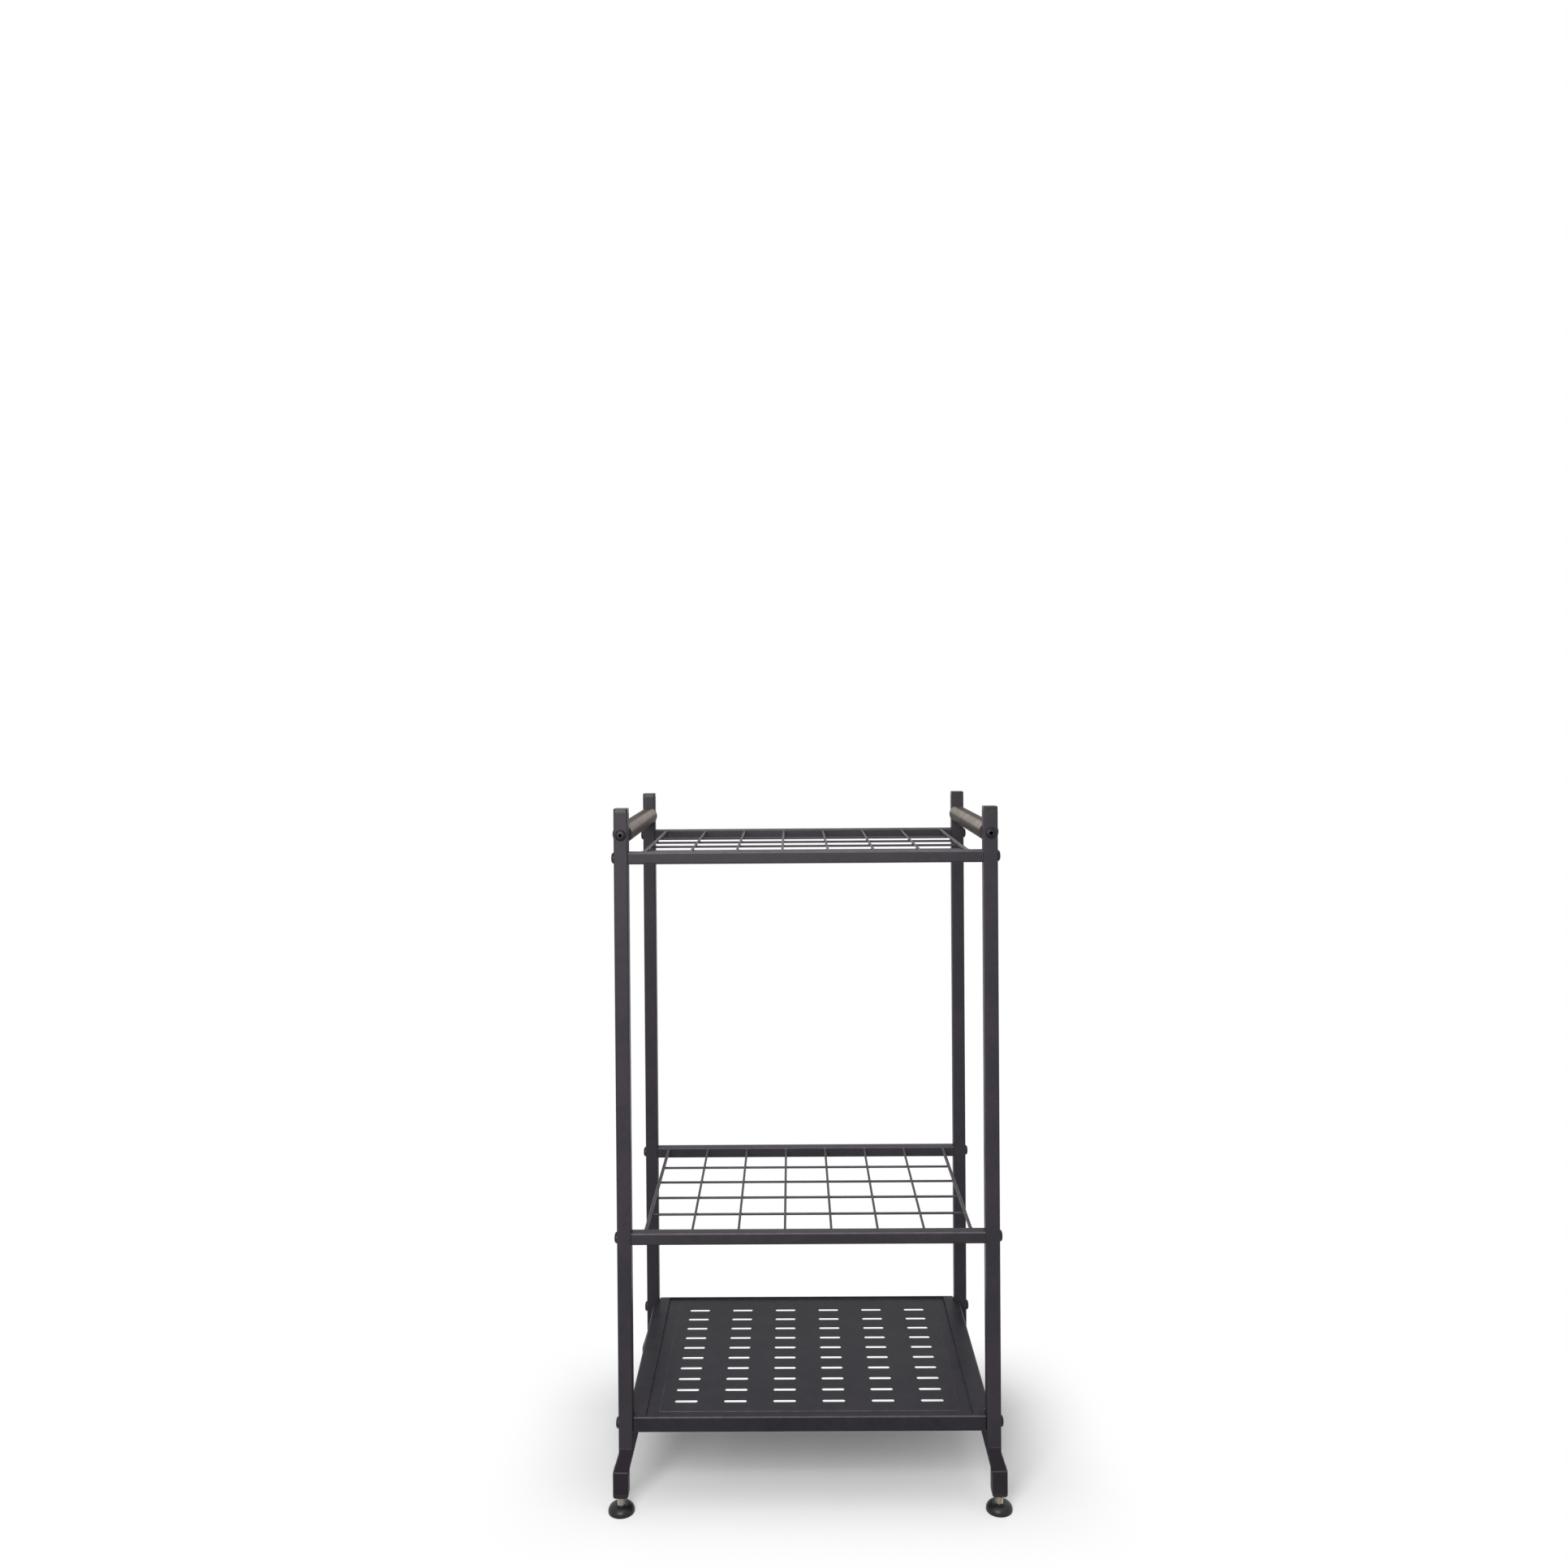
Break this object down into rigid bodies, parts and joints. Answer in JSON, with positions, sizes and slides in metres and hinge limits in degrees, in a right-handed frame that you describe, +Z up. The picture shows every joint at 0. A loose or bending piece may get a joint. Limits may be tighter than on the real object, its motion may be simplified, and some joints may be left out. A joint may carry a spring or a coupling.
{
  "type": "garden tool rack",
  "caption": "Open steel rack for long garden tools: square uprights, wire grid shelves, round side rails and a slotted bottom tray on screw-levelled feet.",
  "frame": {"origin": "on the floor, under the middle of the rack", "axes": "+Z up, +X to the right seen from the front, +Y to the back"},
  "size_m": [0.514, 0.361, 0.893],
  "materials": {
    "coated_steel": "satin black powder coat",
    "black_plastic": "fine moulded texture",
    "black_screw": "blackened",
    "zinc_steel": "bright zinc"
  },
  "bodies": {
    "rack": {"front_left_upright": "coated_steel", "front_left_cap": "black_plastic", "front_left_leg_shoe": "coated_steel", "front_left_rail_screw": "black_screw", "front_left_foot_insert": "black_plastic", "top_shelf_bolt_front_left": "black_screw", "middle_shelf_bolt_front_left": "black_screw", "tray_bolt_front_left": "black_screw", "front_right_upright": "coated_steel", "front_right_cap": "black_plastic", "front_right_leg_shoe": "coated_steel", "front_right_rail_screw": "black_screw", "front_right_foot_insert": "black_plastic", "top_shelf_bolt_front_right": "black_screw", "middle_shelf_bolt_front_right": "black_screw", "tray_bolt_front_right": "black_screw", "back_left_upright": "coated_steel", "back_left_cap": "black_plastic", "back_left_leg_shoe": "coated_steel", "back_left_rail_screw": "black_screw", "back_left_foot_insert": "black_plastic", "top_shelf_bolt_back_left": "black_screw", "middle_shelf_bolt_back_left": "black_screw", "tray_bolt_back_left": "black_screw", "back_right_upright": "coated_steel", "back_right_cap": "black_plastic", "back_right_leg_shoe": "coated_steel", "back_right_rail_screw": "black_screw", "back_right_foot_insert": "black_plastic", "top_shelf_bolt_back_right": "black_screw", "middle_shelf_bolt_back_right": "black_screw", "tray_bolt_back_right": "black_screw", "top_shelf_frame": "coated_steel", "top_shelf_long_wire_1": "coated_steel", "top_shelf_long_wire_2": "coated_steel", "top_shelf_long_wire_3": "coated_steel", "top_shelf_long_wire_4": "coated_steel", "middle_shelf_frame": "coated_steel", "middle_shelf_long_wire_1": "coated_steel", "middle_shelf_long_wire_2": "coated_steel", "middle_shelf_long_wire_3": "coated_steel", "middle_shelf_long_wire_4": "coated_steel", "left_side_rail": "coated_steel", "right_side_rail": "coated_steel", "slotted_tray": "coated_steel"},
    "front_left_pad": {"front_left_foot_pad": "black_plastic"},
    "front_left_stud": {"front_left_foot_stud": "zinc_steel"},
    "front_right_pad": {"front_right_foot_pad": "black_plastic"},
    "front_right_stud": {"front_right_foot_stud": "zinc_steel"},
    "back_left_pad": {"back_left_foot_pad": "black_plastic"},
    "back_left_stud": {"back_left_foot_stud": "zinc_steel"},
    "back_right_pad": {"back_right_foot_pad": "black_plastic"},
    "back_right_stud": {"back_right_foot_stud": "zinc_steel"}
  },
  "joints": [
    {"name": "front_left_foot_travel", "type": "slide", "parent": "rack", "child": "front_left_pad", "axis": [0, 0, -1], "range_m": [-0.009, 0.012]},
    {"name": "front_left_stud_turn", "type": "hinge", "parent": "front_left_pad", "child": "front_left_stud", "pos_m": [-0.2395, -0.163, 0.02], "axis": [0, 0, -1], "range_deg": [-2161, 2881]},
    {"name": "front_right_foot_travel", "type": "slide", "parent": "rack", "child": "front_right_pad", "axis": [0, 0, -1], "range_m": [-0.009, 0.012]},
    {"name": "front_right_stud_turn", "type": "hinge", "parent": "front_right_pad", "child": "front_right_stud", "pos_m": [0.2395, -0.163, 0.02], "axis": [0, 0, -1], "range_deg": [-2161, 2881]},
    {"name": "back_left_foot_travel", "type": "slide", "parent": "rack", "child": "back_left_pad", "axis": [0, 0, -1], "range_m": [-0.009, 0.012]},
    {"name": "back_left_stud_turn", "type": "hinge", "parent": "back_left_pad", "child": "back_left_stud", "pos_m": [-0.2395, 0.163, 0.02], "axis": [0, 0, -1], "range_deg": [-2161, 2881]},
    {"name": "back_right_foot_travel", "type": "slide", "parent": "rack", "child": "back_right_pad", "axis": [0, 0, -1], "range_m": [-0.009, 0.012]},
    {"name": "back_right_stud_turn", "type": "hinge", "parent": "back_right_pad", "child": "back_right_stud", "pos_m": [0.2395, 0.163, 0.02], "axis": [0, 0, -1], "range_deg": [-2161, 2881]}
  ],
  "couplings": [
    {"joint": "front_left_stud_turn", "follows": "front_left_foot_travel", "rad_per_m": 4188.8},
    {"joint": "front_right_stud_turn", "follows": "front_right_foot_travel", "rad_per_m": 4188.8},
    {"joint": "back_left_stud_turn", "follows": "back_left_foot_travel", "rad_per_m": 4188.8},
    {"joint": "back_right_stud_turn", "follows": "back_right_foot_travel", "rad_per_m": 4188.8}
  ]
}
